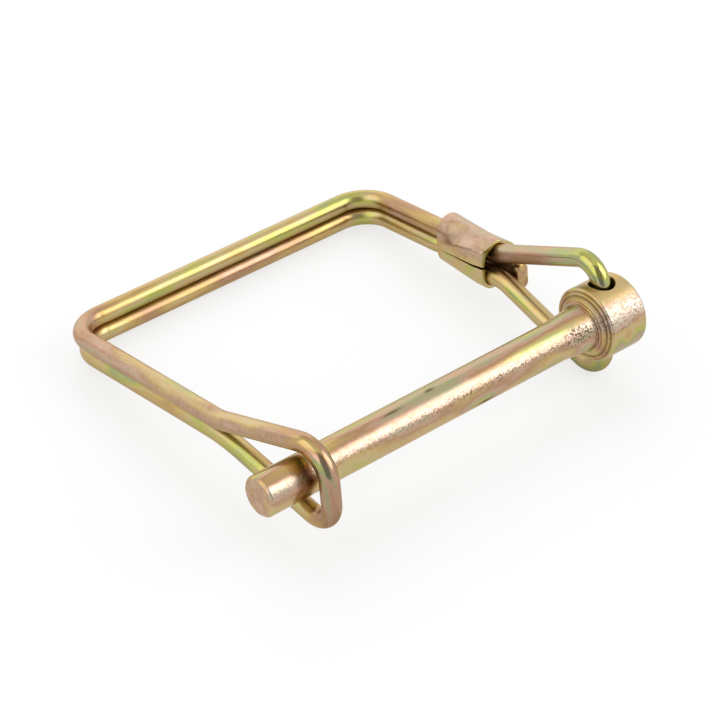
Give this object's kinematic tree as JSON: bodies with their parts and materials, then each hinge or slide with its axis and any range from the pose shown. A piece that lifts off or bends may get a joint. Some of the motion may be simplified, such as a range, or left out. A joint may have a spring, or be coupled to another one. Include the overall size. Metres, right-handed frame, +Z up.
{
  "type": "square wire lock pin",
  "caption": "Straight headed pin with a square sprung wire bail that turns in the head and closes in a loop over the pin's tip to keep it in its hole.",
  "frame": {"origin": "on the pin's axis, where the plain shank ends and the flared neck begins", "axes": "+X along the pin from the tip towards the head, +Y from the pin towards the bail's back, +Z up as it lies on a flat surface"},
  "size_m": [0.0904, 0.0818, 0.026],
  "materials": {
    "pin_zinc": "yellow chromate zinc plating, slightly speckled, with iridescent bands",
    "wire_zinc": "yellow chromate zinc plating on drawn wire, satin to glossy",
    "sleeve_zinc": "yellow chromate zinc plating on crimped sheet, matt"
  },
  "bodies": {
    "pin": {"pin": "pin_zinc"},
    "bail": {"bail_wire": "wire_zinc", "ferrule": "sleeve_zinc"}
  },
  "joints": [
    {"name": "bail_swing", "type": "hinge", "parent": "pin", "child": "bail", "pos_m": [0.0124, 0, 0], "axis": [0, -0.1455, -0.9894], "range_deg": [0, 240], "deforming": ["bail_wire"]}
  ]
}
